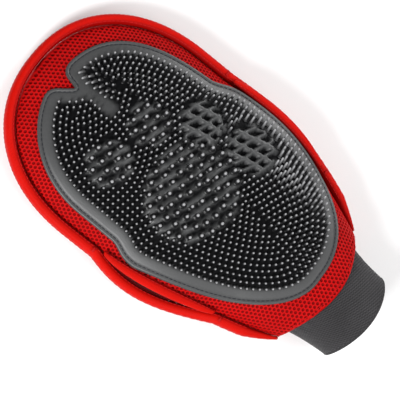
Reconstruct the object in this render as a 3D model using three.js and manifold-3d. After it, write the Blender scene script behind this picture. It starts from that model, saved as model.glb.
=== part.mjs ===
// A two-way pet grooming mitt lying on its back, as if a hand were in it: a rubber pin pad sewn on a
// mesh palm, a flat back, a bound edge, an open thumb slot in each side seam and an elastic cuff.
// Millimetres. X runs across the hand, Y from wrist to fingertips and Z up out of the palm.
import * as THREE from 'three';
import { ParametricGeometry } from 'three/addons/geometries/ParametricGeometry.js';
import { mergeVertices } from 'three/addons/utils/BufferGeometryUtils.js';
import Module from 'manifold-3d';

const wasm = await Module();
wasm.setup();

// Driving dimensions of the mitt's outline
const halfWidth = 76;
const wristHalfWidth = 45;
const widestY = 120;
const heelY = -5;
const heelCornerRise = 9;
const roundingY = 150;
const fingertipY = 235;
const flankPower = 1.9;
const outlinePower = 2.2;
const palmSway = 3;
const swayEndY = 130;

// Its depth: the side seam's height, how far the palm stands above it and the back hangs below it
const tipSeamZ = 14;
const wristSeamRise = 17;
const seamPower = 1.6;
const palmRise = 22.5;
const palmRiseFall = 0.03;
const backDrop = 26;
const backDropGrowth = 0.03;
const flatBackDepth = 2;
const crownPower = 0.62;

// Layers, bindings and thread
const clearance = 0.3;
const shellThickness = 1.6;
const foamThickness = 1.4;
const liningThickness = 0.8;
const bindingWidth = 6.5;
const bindingHeight = 9;
const bindingEndTaper = { least: 0.4, span: 0.05 };
const threadRadius = 0.45;

// Thumb slots, one in each side seam
const slotLowY = 45;
const slotHighY = 128;
const slotPalmPull = 0.5;
const slotPalmLift = 5;
const slotBackBulge = 5;
const slotBackSag = 10;
const slotBindingWidth = 6;
const slotBindingHeight = 4;
const slotBindingTaper = 0.35;
const slotEndGap = 3;
const barTack = { length: 5, width: 1.4, height: 0.9, slotDistance: 3 };

// Pin pad
const padThickness = 2;
const padStitchInset = 2.4;
const padBorder = 9.5;
const smallPin = { pitch: 6.8, baseRadius: 1.6, tipRadius: 0, height: 3 };
const largePin = { pitch: 7.6, baseRadius: 2.4, tipRadius: 1.1, height: 3 };
const pinSides = 3;
const pinRootDepth = 0.8;
const pinIslands = [
  { x: -9, y: 108, rx: 32, ry: 28 },
  { x: -25, y: 158, rx: 12, ry: 12 },
  { x: 11, y: 154, rx: 12, ry: 12 },
  { x: 36, y: 128, rx: 11, ry: 12 },
  { x: 38, y: 92, rx: 12, ry: 13 },
];

// Cuff; its top edge nests inside the heel edges, so that it can bend about an axis across the wrist
const cuffTopY = -2;
const cuffTopCurve = 5;
const cuffEndY = -33.5;
const cuffEndCurve = 6;
const cuffCentreZ = 29.5;
const cuffTop = { rx: 36, rz: 17 };
const cuffEnd = { rx: 31.5, rz: 20 };
const cuffThickness = 2.2;
const hemRadius = 1.2;
const cuffSeam = { start: 0.08, end: 0.92, halfWidth: 1.8, halfHeight: 0.6 };

// Facets
const sheetColumns = 12;
const sheetRows = 13;
const bindingSteps = 48;
const slotSteps = 16;
const beadSides = 8;
const threadSides = 4;
const outlineSegments = 7;
const heelThreadSteps = 18;

const materials = {
  padRubber: { color: 0x4c4d4f, roughness: 0.45, metalness: 0 },
  darkThread: { color: 0x202022, roughness: 0.8, metalness: 0 },
  redMesh: { color: 0xb80c10, roughness: 0.85, metalness: 0 },
  redFabric: { color: 0xc01014, roughness: 0.8, metalness: 0 },
  redTape: { color: 0xe01a1c, roughness: 0.55, metalness: 0 },
  redThread: { color: 0xc8181a, roughness: 0.7, metalness: 0 },
  foam: { color: 0x3a3a3c, roughness: 0.95, metalness: 0 },
  lining: { color: 0x1e1e20, roughness: 0.9, metalness: 0 },
  cuffKnit: { color: 0x47474c, roughness: 0.9, metalness: 0 },
};

const mitt = new THREE.Group();

function addPart(name, geometry, finish) {
  const mesh = new THREE.Mesh(geometry, new THREE.MeshStandardMaterial(materials[finish]));
  mesh.name = name;
  mitt.add(mesh);
}

// Merges shared vertices, drops collapsed facets and turns every face outwards.
function closeGeometry(geometry) {
  geometry.deleteAttribute('normal');
  geometry.deleteAttribute('uv');
  const merged = mergeVertices(geometry, 1e-4);
  const position = merged.attributes.position;
  const source = merged.index.array;
  const triangles = [];
  let volume = 0;
  const a = new THREE.Vector3();
  const b = new THREE.Vector3();
  const c = new THREE.Vector3();
  for (let i = 0; i < source.length; i += 3) {
    const [p, q, r] = [source[i], source[i + 1], source[i + 2]];
    if (p === q || q === r || r === p) continue;
    triangles.push(p, q, r);
    a.fromBufferAttribute(position, p);
    b.fromBufferAttribute(position, q);
    c.fromBufferAttribute(position, r);
    volume += a.dot(b.cross(c));
  }
  if (volume < 0) triangles.reverse();
  merged.setIndex(triangles);
  return merged;
}

function toSolid(geometry) {
  const closed = closeGeometry(geometry);
  return new wasm.Manifold(new wasm.Mesh({
    numProp: 3,
    vertProperties: new Float32Array(closed.attributes.position.array),
    triVerts: new Uint32Array(closed.index.array),
  }));
}

function fromSolid(solid) {
  const mesh = solid.getMesh();
  const geometry = new THREE.BufferGeometry();
  geometry.setAttribute('position', new THREE.BufferAttribute(mesh.vertProperties, 3));
  geometry.setIndex(new THREE.BufferAttribute(mesh.triVerts, 1));
  return geometry;
}

// Outline and surfaces of the mitt

function edgeHalfWidth(y) {
  if (y >= widestY) return halfWidth;
  const fall = Math.pow((widestY - y) / (widestY - heelY), flankPower);
  return halfWidth - (halfWidth - wristHalfWidth) * fall;
}

// Sideways lean of the palm, none at the wrist and none in the fingers
function sway(y) {
  return palmSway * Math.sin(Math.PI * THREE.MathUtils.clamp(y / swayEndY, 0, 1)) ** 2;
}

function seamZ(y) {
  return tipSeamZ + wristSeamRise * Math.pow(Math.max(0, 1 - y / fingertipY), seamPower);
}

function slotShape(y) {
  if (y <= slotLowY || y >= slotHighY) return 0;
  return Math.sin(Math.PI * (y - slotLowY) / (slotHighY - slotLowY));
}

const palmSide = {
  sign: 1,
  lipOut: -slotPalmPull,
  lipUp: slotPalmLift,
  rise: (y) => palmRise - palmRiseFall * y,
};

const backSide = {
  sign: -1,
  lipOut: slotBackBulge,
  lipUp: -slotBackSag,
  rise: (y) => Math.min(backDrop + backDropGrowth * (y - heelY), seamZ(y) + flatBackDepth),
};

function tipReach(inset) {
  return fingertipY - roundingY - bindingWidth - inset;
}

// The point of one side's surface at across (-1 to 1) and height y; inset counts inwards.
function surfacePoint(side, across, y, inset) {
  const fullWidth = edgeHalfWidth(y) - bindingWidth - inset + side.lipOut * slotShape(y);
  const tip = Math.min(1, Math.max(0, y - roundingY) / tipReach(inset)) ** outlinePower;
  const x = across * fullWidth * Math.pow(1 - tip, 1 / outlinePower);
  const level = Math.abs(across) ** outlinePower * (1 - tip) + tip;
  const crown = Math.pow(Math.max(0, 1 - level), crownPower);
  const lip = side.lipUp * slotShape(y) * across ** 4;
  const z = seamZ(y) + side.sign * ((side.rise(y) - inset) * crown + clearance / 2) + lip;
  return new THREE.Vector3(x + sway(y), y, side.sign > 0 ? z : Math.max(inset, z));
}

function heelEdgeY(across) {
  return heelY + heelCornerRise * across ** 2;
}

function sheetPoint(side, column, row, inset) {
  const across = Math.sin((column / sheetColumns - 0.5) * Math.PI);
  const start = heelEdgeY(across);
  const end = roundingY + tipReach(inset);
  const y = start + (end - start) * Math.sin((row / sheetRows) * Math.PI / 2);
  return surfacePoint(side, across, y, inset);
}

// Turns the diagonals of the inner skin's facets, so that neighbouring layers' facets stay parallel.
function alignInnerFacets(geometry, slices) {
  const index = geometry.index;
  for (let quad = 0; quad < index.count / 6; quad += 1) {
    if (quad % slices <= sheetColumns) continue;
    const first = quad * 6;
    const nextRowAndStation = index.getX(first + 4);
    index.setX(first + 5, index.getX(first + 2));
    index.setX(first + 4, nextRowAndStation);
    index.setX(first + 3, index.getX(first));
    index.setX(first + 2, nextRowAndStation);
  }
  return geometry;
}

// A fabric layer between two insets, closed round its rim and along its heel edge.
function layerGeometry(side, outerInset, innerInset) {
  const slices = 2 * (sheetColumns + 1);
  const stacks = sheetRows + 1;
  const place = (u, v, target) => {
    const station = Math.round(u * slices) % slices;
    const outside = station <= sheetColumns;
    const column = outside ? station : slices - 1 - station;
    const row = Math.max(0, Math.round(v * stacks) - 1);
    const outer = sheetPoint(side, column, row, outerInset);
    const inner = sheetPoint(side, column, row, innerInset);
    const heel = Math.round(v * stacks) === 0;
    target.copy(outside ? outer : inner);
    if (heel) target.copy(outer.add(inner).multiplyScalar(0.5));
  };
  return closeGeometry(alignInnerFacets(new ParametricGeometry(place, slices, stacks), slices));
}

// A bead swept along a path: at(t) gives its centre and its two half axes.
function beadGeometry(at, sides, steps, closedPath) {
  const stacks = closedPath ? steps : steps + 2;
  const place = (u, v, target) => {
    const station = Math.round(v * stacks);
    const step = closedPath ? station % steps : THREE.MathUtils.clamp(station - 1, 0, steps);
    const frame = at(step / steps);
    target.copy(frame.centre);
    if (!closedPath && (station === 0 || station === stacks)) return;
    const angle = Math.round(u * sides) % sides * 2 * Math.PI / sides;
    target.addScaledVector(frame.outward, Math.cos(angle));
    target.addScaledVector(frame.upward, Math.sin(angle));
  };
  return closeGeometry(new ParametricGeometry(place, sides, stacks));
}

// Outward direction, level with the floor, of a path that turns clockwise seen from above.
function levelOutward(pointAt, t, span) {
  const before = pointAt(Math.max(0, t - span));
  const after = pointAt(Math.min(1, t + span));
  const tangent = after.sub(before).setZ(0).normalize();
  return new THREE.Vector3(-tangent.y, tangent.x, 0);
}

// Fabric layers

function addLayers() {
  const foamInset = shellThickness + clearance;
  const liningInset = foamInset + foamThickness + clearance;
  const liningEnd = liningInset + liningThickness;
  const sides = [
    ['palm', palmSide, 'redMesh', 'palm_mesh_panel'],
    ['back', backSide, 'redFabric', 'back_panel'],
  ];
  for (const [word, side, finish, shellName] of sides) {
    addPart(shellName, layerGeometry(side, 0, shellThickness), finish);
    addPart(`${word}_foam_layer`, layerGeometry(side, foamInset, foamInset + foamThickness), 'foam');
    addPart(`${word}_lining`, layerGeometry(side, liningInset, liningEnd), 'lining');
  }
}

// Bindings

// The rim of one side from the left heel corner round the fingertips to the right one, t from 0 to 1.
function rimPoint(side, t) {
  const left = t < 0.5;
  const along = Math.sin((left ? t : 1 - t) * Math.PI);
  const start = heelEdgeY(1);
  const y = start + (roundingY + tipReach(0) - start) * along;
  return surfacePoint(side, left ? -1 : 1, y, 0);
}

function edgeBindingFrame(t) {
  const outward = levelOutward((place) => rimPoint(backSide, place), t, 0.004);
  const endTaper = Math.min(1, bindingEndTaper.least + Math.min(t, 1 - t) / bindingEndTaper.span);
  const reach = bindingWidth / 2 * endTaper;
  const centre = rimPoint(backSide, t).addScaledVector(outward, reach + clearance);
  return {
    centre,
    outward: outward.multiplyScalar(reach),
    upward: new THREE.Vector3(0, 0, bindingHeight / 2 * endTaper),
  };
}

function addEdgeBinding() {
  const stepsBeforeThread = 2;
  const threadSteps = bindingSteps - 2 * stepsBeforeThread;
  addPart('edge_binding', beadGeometry(edgeBindingFrame, beadSides, bindingSteps, false), 'redTape');
  const threadFrame = (t) => {
    const binding = edgeBindingFrame((stepsBeforeThread + threadSteps * t) / bindingSteps);
    return {
      centre: binding.centre.setZ(binding.centre.z + binding.upward.z + threadRadius + clearance),
      outward: binding.outward.normalize().multiplyScalar(threadRadius),
      upward: new THREE.Vector3(0, 0, threadRadius),
    };
  };
  const thread = beadGeometry(threadFrame, threadSides, threadSteps, false);
  addPart('edge_binding_stitching', thread, 'redThread');
}

function slotLipPoint(hand, t) {
  const y = slotLowY + slotEndGap + (slotHighY - slotLowY - 2 * slotEndGap) * t;
  return surfacePoint(palmSide, hand, y, 0);
}

function slotBindingFrame(hand, t) {
  const centre = slotLipPoint(hand, t);
  const before = slotLipPoint(hand, Math.max(0, t - 0.01));
  const after = slotLipPoint(hand, Math.min(1, t + 0.01));
  const tangent = after.sub(before).setZ(0).normalize();
  const outward = new THREE.Vector3(hand * tangent.y, -hand * tangent.x, 0);
  const taper = THREE.MathUtils.lerp(slotBindingTaper, 1, Math.sin(Math.PI * t) ** 0.5);
  const reach = slotBindingWidth / 2 * taper;
  const lift = bindingHeight / 2 + slotBindingHeight / 2 + clearance;
  centre.addScaledVector(outward, reach + clearance);
  centre.z += lift * (1 - slotShape(centre.y)) + slotBindingHeight / 2 * slotShape(centre.y);
  return {
    centre,
    outward: outward.multiplyScalar(reach),
    upward: new THREE.Vector3(0, 0, slotBindingHeight / 2 * taper),
  };
}

function addThumbSlots() {
  for (const [word, hand] of [['left', -1], ['right', 1]]) {
    const bindingAt = (t) => slotBindingFrame(hand, t);
    addPart(`${word}_slot_binding`, beadGeometry(bindingAt, beadSides, slotSteps, false), 'redTape');
    const threadSteps = slotSteps - 2;
    const threadAt = (t) => {
      const binding = bindingAt((1 + threadSteps * t) / slotSteps);
      return {
        centre: binding.centre.setZ(binding.centre.z + binding.upward.z + threadRadius + clearance),
        outward: binding.outward.normalize().multiplyScalar(threadRadius),
        upward: new THREE.Vector3(0, 0, threadRadius),
      };
    };
    const thread = beadGeometry(threadAt, threadSides, threadSteps, false);
    addPart(`${word}_slot_stitching`, thread, 'redThread');
    addBarTacks(word, hand);
  }
}

function addBarTacks(word, hand) {
  const levels = [['upper', slotHighY + barTack.slotDistance], ['lower', slotLowY - barTack.slotDistance]];
  for (const [level, y] of levels) {
    const rim = surfacePoint(palmSide, hand, y, 0);
    const tack = new THREE.BoxGeometry(barTack.length, barTack.width, barTack.height);
    const outX = rim.x + hand * (bindingWidth / 2 + clearance);
    const aboveThread = bindingHeight / 2 + clearance + 2 * threadRadius + clearance;
    const topZ = rim.z + aboveThread + barTack.height / 2;
    tack.translate(outX, y, topZ);
    addPart(`${word}_${level}_bar_tack`, closeGeometry(tack), 'redThread');
  }
}

// Pin pad

function padOutline() {
  const outline = new THREE.Shape();
  outline.moveTo(-2, 201.5);
  outline.lineTo(-7.5, 208.5);
  outline.quadraticCurveTo(-11, 214.5, -17, 213.5);
  outline.bezierCurveTo(-38, 208.5, -61, 187.5, -61.5, 152);
  outline.lineTo(-62, 125);
  outline.bezierCurveTo(-63.5, 118, -67, 117, -66.5, 105);
  outline.bezierCurveTo(-62, 86, -45, 6, -2, 10);
  outline.bezierCurveTo(42, 7, 70, 46, 68, 106);
  outline.bezierCurveTo(68.5, 126, 63.5, 127, 60, 137);
  outline.bezierCurveTo(58, 165.5, 53, 205.5, 14.5, 213.5);
  outline.quadraticCurveTo(2, 216.5, 0, 207.5);
  outline.closePath();
  return outline;
}

// Height of the pad's upper face over a point of the palm.
function padTopPoint(x, y, lift) {
  const above = clearance + padThickness + lift;
  const fullWidth = edgeHalfWidth(y) - bindingWidth + above + palmSide.lipOut * slotShape(y);
  const tip = (Math.max(0, y - roundingY) / tipReach(-above)) ** outlinePower;
  const reach = fullWidth * Math.pow(1 - tip, 1 / outlinePower);
  return surfacePoint(palmSide, (x - sway(y)) / reach, y, -above);
}

function padNormal(x, y) {
  const step = 0.5;
  const acrossStep = padTopPoint(x + step, y, 0).sub(padTopPoint(x - step, y, 0));
  const alongStep = padTopPoint(x, y + step, 0).sub(padTopPoint(x, y - step, 0));
  return acrossStep.cross(alongStep).normalize();
}

function pinSolid(x, y, pin) {
  const length = pin.height + pinRootDepth;
  const geometry = new THREE.CylinderGeometry(pin.tipRadius, pin.baseRadius, length, pinSides);
  geometry.translate(0, (pin.height - pinRootDepth) / 2, 0);
  const normal = padNormal(x, y);
  geometry.applyQuaternion(new THREE.Quaternion().setFromUnitVectors(THREE.Object3D.DEFAULT_UP, normal));
  const foot = padTopPoint(x, y, 0);
  geometry.translate(foot.x, foot.y, foot.z);
  return toSolid(geometry);
}

function insideIsland(x, y, margin) {
  return pinIslands.some((island) => {
    const across = (x - island.x) / (island.rx + margin);
    const along = (y - island.y) / (island.ry + margin);
    return Math.hypot(across, along) < 1;
  });
}

function clearOfOutline(x, y, outlinePoints, margin) {
  let crossings = 0;
  const point = new THREE.Vector3(x, y, 0);
  const nearest = new THREE.Vector3();
  for (let i = 0; i < outlinePoints.length; i += 1) {
    const start = outlinePoints[i];
    const end = outlinePoints[(i + 1) % outlinePoints.length];
    const edge = new THREE.Line3(new THREE.Vector3(start.x, start.y), new THREE.Vector3(end.x, end.y));
    edge.closestPointToPoint(point, true, nearest);
    if (nearest.distanceTo(point) < margin) return false;
    const spans = (start.y > y) !== (end.y > y);
    if (spans && x < start.x + (end.x - start.x) * (y - start.y) / (end.y - start.y)) crossings += 1;
  }
  return crossings % 2 === 1;
}

// Places of a triangular lattice of pins that pass a test.
function pinPlaces(pitch, test) {
  const places = [];
  const rowStep = pitch * Math.sqrt(3) / 2;
  const rows = Math.ceil(fingertipY / rowStep);
  const columns = Math.ceil(halfWidth / pitch);
  for (let row = 0; row <= rows; row += 1) {
    for (let column = -columns; column <= columns; column += 1) {
      const x = (column + (row % 2) / 2) * pitch;
      const y = row * rowStep;
      if (test(x, y)) places.push([x, y]);
    }
  }
  return places;
}

function addPinPad() {
  const outline = padOutline();
  const outlinePoints = outline.getPoints(outlineSegments);
  outlinePoints.pop();
  const sheet = toSolid(layerGeometry(palmSide, -clearance - padThickness, -clearance));
  const prismHeight = 80;
  const prism = toSolid(new THREE.ExtrudeGeometry(outline, {
    depth: prismHeight,
    bevelEnabled: false,
    curveSegments: outlineSegments,
  }));
  let pad = sheet.intersect(prism);
  const islandMargin = 2.5;
  const inBorder = (x, y) => !clearOfOutline(x, y, outlinePoints, padBorder);
  const isField = (x, y) => !insideIsland(x, y, islandMargin) && !inBorder(x, y);
  const isIsland = (x, y) => insideIsland(x, y, 0) && !inBorder(x, y);
  for (const [x, y] of pinPlaces(smallPin.pitch, isField)) pad = pad.add(pinSolid(x, y, smallPin));
  for (const [x, y] of pinPlaces(largePin.pitch, isIsland)) pad = pad.add(pinSolid(x, y, largePin));
  addPart('rubber_pin_pad', fromSolid(pad), 'padRubber');
  addPadStitching(outlinePoints);
}

// The thread follows the pad's edge, set in from it, on the pad's upper face.
function addPadStitching(outlinePoints) {
  const count = outlinePoints.length;
  const insetPoint = (index) => {
    const before = outlinePoints[(index + count - 1) % count];
    const here = outlinePoints[index % count];
    const after = outlinePoints[(index + 1) % count];
    const tangent = after.clone().sub(before).normalize();
    return new THREE.Vector2(-tangent.y, tangent.x).multiplyScalar(padStitchInset).add(here);
  };
  const threadFrame = (t) => {
    const index = Math.round(t * count) % count;
    const place = insetPoint(index);
    const next = insetPoint((index + 1) % count);
    const previous = insetPoint((index + count - 1) % count);
    const tangent = next.sub(previous).normalize();
    return {
      centre: padTopPoint(place.x, place.y, threadRadius + clearance),
      outward: new THREE.Vector3(tangent.y, -tangent.x, 0).multiplyScalar(threadRadius),
      upward: new THREE.Vector3(0, 0, threadRadius),
    };
  };
  addPart('pad_stitching', beadGeometry(threadFrame, threadSides, count, true), 'darkThread');
}

// Heel stitching, one line along each side's heel edge

function addHeelStitching() {
  const heelSetback = 3;
  const farthestAcross = 0.85;
  for (const [word, side] of [['palm', palmSide], ['back', backSide]]) {
    const lift = side.sign * (threadRadius + clearance);
    const place = (t) => {
      const across = THREE.MathUtils.lerp(-farthestAcross, farthestAcross, t);
      const onSurface = surfacePoint(side, across, heelEdgeY(across) + heelSetback, 0);
      return onSurface.setZ(onSurface.z + lift);
    };
    const frame = (t) => ({
      centre: place(t),
      outward: new THREE.Vector3(0, threadRadius, 0),
      upward: new THREE.Vector3(0, 0, threadRadius),
    });
    addPart(`${word}_heel_stitching`, beadGeometry(frame, threadSides, heelThreadSteps, false), 'redThread');
  }
}

// Cuff: an oval knitted tube with a rolled end and one closing seam

function cuffPoint(angle, t, inset) {
  const rx = THREE.MathUtils.lerp(cuffTop.rx, cuffEnd.rx, t) - inset;
  const rz = THREE.MathUtils.lerp(cuffTop.rz, cuffEnd.rz, t) - inset;
  const startY = cuffTopY + cuffTopCurve * Math.cos(angle) ** 2;
  const endY = cuffEndY + cuffEndCurve * Math.cos(angle) ** 2;
  const y = THREE.MathUtils.lerp(startY, endY, t);
  return new THREE.Vector3(rx * Math.cos(angle), y, cuffCentreZ + rz * Math.sin(angle));
}

function addCuff() {
  const sides = 24;
  const rows = 3;
  const stations = 2 * (rows + 1);
  const wall = (u, v, target) => {
    const angle = Math.round(u * sides) % sides * 2 * Math.PI / sides;
    const station = Math.round(v * stations) % stations;
    const outside = station <= rows;
    const row = outside ? station : stations - 1 - station;
    target.copy(cuffPoint(angle, row / rows, outside ? 0 : cuffThickness));
  };
  addPart('elastic_cuff', closeGeometry(new ParametricGeometry(wall, sides, stations)), 'cuffKnit');

  const hemFrame = (t) => {
    const angle = t * 2 * Math.PI;
    const centre = cuffPoint(angle, 1, cuffThickness / 2);
    centre.y -= hemRadius + clearance;
    return {
      centre,
      outward: new THREE.Vector3(Math.cos(angle), 0, Math.sin(angle)).multiplyScalar(hemRadius),
      upward: new THREE.Vector3(0, hemRadius, 0),
    };
  };
  addPart('cuff_end_hem', beadGeometry(hemFrame, 6, sides, true), 'cuffKnit');

  const seamFrame = (t) => {
    const along = THREE.MathUtils.lerp(cuffSeam.start, cuffSeam.end, t);
    const inner = cuffPoint(-Math.PI / 2, along, cuffThickness);
    inner.z += cuffSeam.halfHeight + clearance;
    return {
      centre: inner,
      outward: new THREE.Vector3(cuffSeam.halfWidth, 0, 0),
      upward: new THREE.Vector3(0, 0, cuffSeam.halfHeight),
    };
  };
  addPart('cuff_side_seam', beadGeometry(seamFrame, 6, 6, false), 'darkThread');
}

// The origin is the middle of the flat of the back, under the palm.
const originY = 105;
mitt.position.y = -originY;

addLayers();
addEdgeBinding();
addThumbSlots();
addPinPad();
addHeelStitching();
addCuff();

export default mitt;
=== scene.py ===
import math
import bpy
import numpy as np
from mathutils import Matrix, Vector, geometry


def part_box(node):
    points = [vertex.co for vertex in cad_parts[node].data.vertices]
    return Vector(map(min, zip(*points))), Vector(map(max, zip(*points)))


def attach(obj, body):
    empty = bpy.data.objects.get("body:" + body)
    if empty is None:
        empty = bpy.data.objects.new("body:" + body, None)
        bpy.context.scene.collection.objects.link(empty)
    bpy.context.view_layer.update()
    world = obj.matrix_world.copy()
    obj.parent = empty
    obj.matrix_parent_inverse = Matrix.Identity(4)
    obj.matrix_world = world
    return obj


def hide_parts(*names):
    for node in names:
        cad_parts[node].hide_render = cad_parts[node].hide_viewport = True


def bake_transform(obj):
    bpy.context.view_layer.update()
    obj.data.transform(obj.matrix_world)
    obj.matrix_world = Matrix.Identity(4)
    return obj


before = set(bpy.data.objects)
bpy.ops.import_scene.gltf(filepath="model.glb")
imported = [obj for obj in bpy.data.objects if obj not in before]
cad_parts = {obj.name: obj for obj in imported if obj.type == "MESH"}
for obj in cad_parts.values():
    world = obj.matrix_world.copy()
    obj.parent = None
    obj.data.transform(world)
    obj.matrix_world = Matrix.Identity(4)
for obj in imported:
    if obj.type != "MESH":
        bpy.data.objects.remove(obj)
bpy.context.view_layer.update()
scene = bpy.context.scene
scene.view_settings.view_transform = "Standard"

# The mitt is worked out in millimetres from the wrist seam, then moved into the frame.
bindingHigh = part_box("edge_binding")[1]
cuffLow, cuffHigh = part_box("elastic_cuff")
mittForm = {
    "fingertip": 235.0,
    "halfWidth": 76.0,
    "wristHalfWidth": 45.0,
    "widest": 120.0,
    "heel": -5.0,
    "heelCornerRise": 9.0,
    "palmSway": 3.0,
    "swayEnd": 130.0,
    "rounding": 150.0,
    "wristFall": 1.9,
    "roundness": 2.2,
    "crownFullness": 0.62,
    "halfSeamGap": 0.15,
    "binding": 6.5,
    "slotLow": 45.0,
    "slotHigh": 128.0,
    "cuffAxisZ": (cuffLow.z + cuffHigh.z) * 500,
}
originY = mittForm["fingertip"] - round(bindingHigh.y * 1000)
palmSide = {"sign": 1, "lipOut": -0.5, "lipUp": 5.0, "rise": 22.5, "slope": -0.03, "slopeFrom": 0.0}
backSide = {"sign": -1, "lipOut": 5.0, "lipUp": -10.0, "rise": 26, "slope": 0.03,
            "slopeFrom": mittForm["heel"], "underSeam": 2}
seamLine = {"tipHeight": 14, "wristRise": 17, "fall": 1.6}


def toFrame(points):
    moved = np.asarray(points, float).reshape(-1, 3) - (0, originY, 0)
    return moved * 0.001


def edgeHalfWidth(y):
    f = mittForm
    fall = np.clip((f["widest"] - y) / (f["widest"] - f["heel"]), 0, None) ** f["wristFall"]
    return f["halfWidth"] - (f["halfWidth"] - f["wristHalfWidth"]) * fall


def sway(y):
    return mittForm["palmSway"] * np.sin(math.pi * np.clip(y / mittForm["swayEnd"], 0, 1)) ** 2


def seamHeight(y):
    v = seamLine
    return v["tipHeight"] + v["wristRise"] * np.clip(1 - y / mittForm["fingertip"], 0, None) ** v["fall"]


def slotShape(y):
    f = mittForm
    along = np.clip((y - f["slotLow"]) / (f["slotHigh"] - f["slotLow"]), 0, 1)
    return np.sin(math.pi * along)


def sideRise(side, y):
    rise = side["rise"] + side["slope"] * (y - side["slopeFrom"])
    return rise if side["sign"] > 0 else np.minimum(rise, seamHeight(y) + side["underSeam"])


def tipShare(y, inset):
    reach = mittForm["fingertip"] - mittForm["rounding"] - mittForm["binding"] - inset
    return np.clip((y - mittForm["rounding"]) / reach, 0, 1) ** mittForm["roundness"]


def sideReach(side, y, inset):
    width = edgeHalfWidth(y) - mittForm["binding"] - inset + side["lipOut"] * slotShape(y)
    return width * (1 - tipShare(y, inset)) ** (1 / mittForm["roundness"])


def sidePoint(side, across, y, inset):
    f = mittForm
    across, y = np.broadcast_arrays(np.asarray(across, float), np.asarray(y, float))
    tip = tipShare(y, inset)
    level = np.abs(across) ** f["roundness"] * (1 - tip) + tip
    crown = np.clip(1 - level, 0, None) ** f["crownFullness"]
    lip = side["lipUp"] * slotShape(y) * across ** 4
    z = seamHeight(y) + side["sign"] * ((sideRise(side, y) - inset) * crown + f["halfSeamGap"]) + lip
    if side["sign"] < 0:
        z = np.maximum(inset, z)
    return np.stack([across * sideReach(side, y, inset) + sway(y), y, z], -1)


def palmPoint(x, y, above):
    reach = np.maximum(sideReach(palmSide, y, -above), 1e-6)
    point = sidePoint(palmSide, np.clip((x - sway(y)) / reach, -1, 1), y, -above)
    point[..., 0] = x
    return point


def palmNormal(x, y):
    step = 1.5
    acrossStep = palmPoint(x + step, y, 0) - palmPoint(x - step, y, 0)
    alongStep = palmPoint(x, y + step, 0) - palmPoint(x, y - step, 0)
    normal = np.cross(acrossStep, alongStep)
    return normal / np.linalg.norm(normal, axis=-1, keepdims=True)


def heelEdge(across):
    return mittForm["heel"] + mittForm["heelCornerRise"] * across ** 2


def unit(vectors):
    return vectors / np.maximum(np.linalg.norm(vectors, axis=-1, keepdims=True), 1e-9)


def makeObject(name, points, faces, material=None, uvs=None, edges=()):
    mesh = bpy.data.meshes.new(name)
    mesh.from_pydata(toFrame(points).tolist(), list(edges), [list(map(int, f)) for f in faces])
    mesh.polygons.foreach_set("use_smooth", [True] * len(mesh.polygons))
    if uvs is not None:
        layer = mesh.uv_layers.new(name="UVMap")
        corners = np.zeros(len(mesh.loops), int)
        mesh.loops.foreach_get("vertex_index", corners)
        layer.data.foreach_set("uv", np.asarray(uvs, float)[corners].ravel())
    if material:
        mesh.materials.append(material)
    mesh.validate()
    obj = bpy.data.objects.new(name, mesh)
    scene.collection.objects.link(obj)
    return obj


def addAttribute(obj, name, kind, values):
    attribute = obj.data.attributes.new(name, kind, "POINT")
    field = "vector" if kind == "FLOAT_VECTOR" else "value"
    attribute.data.foreach_set(field, np.asarray(values, np.float32).ravel())


def selectOnly(pieces):
    bpy.ops.object.select_all(action="DESELECT")
    for piece in pieces:
        piece.select_set(True)
    bpy.context.view_layer.objects.active = pieces[0]


def outwardNormals(obj):
    selectOnly([obj])
    bpy.ops.object.mode_set(mode="EDIT")
    bpy.ops.mesh.select_all(action="SELECT")
    bpy.ops.mesh.normals_make_consistent(inside=False)
    bpy.ops.object.mode_set(mode="OBJECT")


def gridFaces(rows, columns, closedRows=False, closedColumns=False):
    return [(i * columns + k, i * columns + (k + 1) % columns, (i + 1) % rows * columns + (k + 1) % columns,
             (i + 1) % rows * columns + k)
            for i in range(rows if closedRows else rows - 1)
            for k in range(columns if closedColumns else columns - 1)]


def openEdges(faces):
    used = {(f[i], f[(i + 1) % len(f)]) for f in faces for i in range(len(f))}
    return [(a, b) for a, b in used if (b, a) not in used]


def shellFaces(faces, rim, shift):
    # a skin, the same skin turned over, and a band between them along each edge of the rim
    under = [tuple(i + shift for i in f[::-1]) for f in faces]
    return list(faces) + under + [(a, a + shift, b + shift, b) for a, b in rim]


def dress(piece, cadNode, body="mitt"):
    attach(piece, body)
    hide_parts(cadNode)


# Camera first: it stands over the palm, a little to the left side of the mitt.
cameraView = {
    "target": (-7.6, 98.0, 34.0),
    "leftTilt": 17.4,
    "tipTilt": 10.1,
    "roll": 39.9,
    "distance": 1050.0,
    "fieldWidth": 250.5,
    "sensor": 36,
}


def placeCamera():
    v = cameraView
    side, tip, roll = (math.radians(v[k]) for k in ("leftTilt", "tipTilt", "roll"))
    towards = Vector((-math.sin(side) * math.cos(tip), math.sin(tip), math.cos(side) * math.cos(tip)))
    fingers = Vector((0, 1, 0)) - towards * towards.y
    fingers.normalize()
    thumb = fingers.cross(towards)
    right = thumb * math.sin(roll) - fingers * math.cos(roll)
    up = thumb * math.cos(roll) + fingers * math.sin(roll)
    data = bpy.data.cameras.new("camera")
    data.sensor_width = v["sensor"]
    data.lens = v["sensor"] * v["distance"] / v["fieldWidth"]
    data.clip_start = 0.05
    camera = bpy.data.objects.new("camera", data)
    scene.collection.objects.link(camera)
    place = Vector(toFrame(v["target"])[0]) + towards * v["distance"] * 0.001
    camera.matrix_world = Matrix.Translation(place) @ Matrix((right, up, towards)).transposed().to_4x4()
    scene.camera = camera


placeCamera()
print("stage: camera")


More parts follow.
